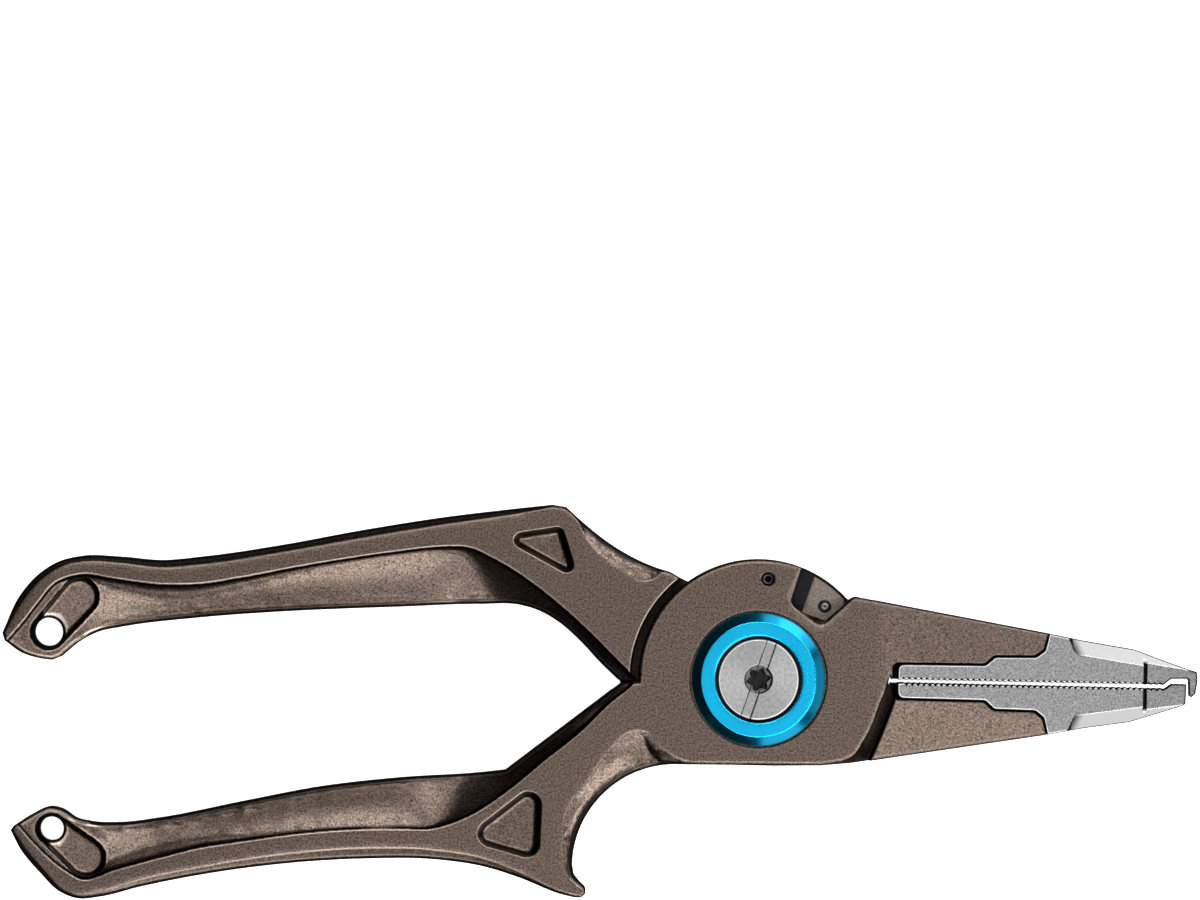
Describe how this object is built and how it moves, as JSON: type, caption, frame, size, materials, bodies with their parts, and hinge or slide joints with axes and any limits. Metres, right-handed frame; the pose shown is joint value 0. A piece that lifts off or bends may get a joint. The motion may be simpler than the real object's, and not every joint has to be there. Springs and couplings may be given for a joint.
{
  "type": "fishing pliers",
  "caption": "Lap-joint fishing pliers: curved anodised handles with lanyard holes, toothed steel jaws with a split-ring hook, a blue pivot ring and line cutters.",
  "frame": {"origin": "on the pivot axis, in the plane of the back faces", "axes": "+X along the jaw line to the hooked tip, +Y across the tool to the upper handle, +Z along the pivot axis out of the front face"},
  "size_m": [0.1904, 0.0642, 0.0134],
  "materials": {
    "bronze_anodised": "bead-blasted, bronze anodised",
    "jaw_steel": "satin stainless steel",
    "screw_steel": "blackened steel",
    "blue_anodised": "glossy, blue anodised",
    "turned_steel": "turned stainless steel",
    "seal_rubber": "matt black",
    "bearing_bronze": "smooth",
    "black_carbide": "ground, near black",
    "grey_carbide": "ground, dark grey-brown"
  },
  "bodies": {
    "front_half": {"lower_handle_frame": "bronze_anodised", "upper_jaw_insert": "jaw_steel", "upper_jaw_screws": "screw_steel", "pivot_ring": "blue_anodised", "pivot_bolt": "turned_steel", "pivot_sleeve": "turned_steel", "pivot_seal": "seal_rubber", "spring_washer": "screw_steel", "front_cutter": "black_carbide", "front_cutter_screw": "screw_steel", "stop_pin": "turned_steel"},
    "rear_half": {"upper_handle_frame": "bronze_anodised", "lower_jaw_insert": "jaw_steel", "lower_jaw_screws": "screw_steel", "thrust_washer": "bearing_bronze", "rear_bush": "bearing_bronze", "rear_cutter": "grey_carbide", "rear_cutter_screw": "screw_steel"}
  },
  "joints": [
    {"name": "pivot", "type": "hinge", "parent": "front_half", "child": "rear_half", "pos_m": [0, 0, 0.006], "axis": [0, 0, -1], "range_deg": [-0.4, 32]}
  ]
}
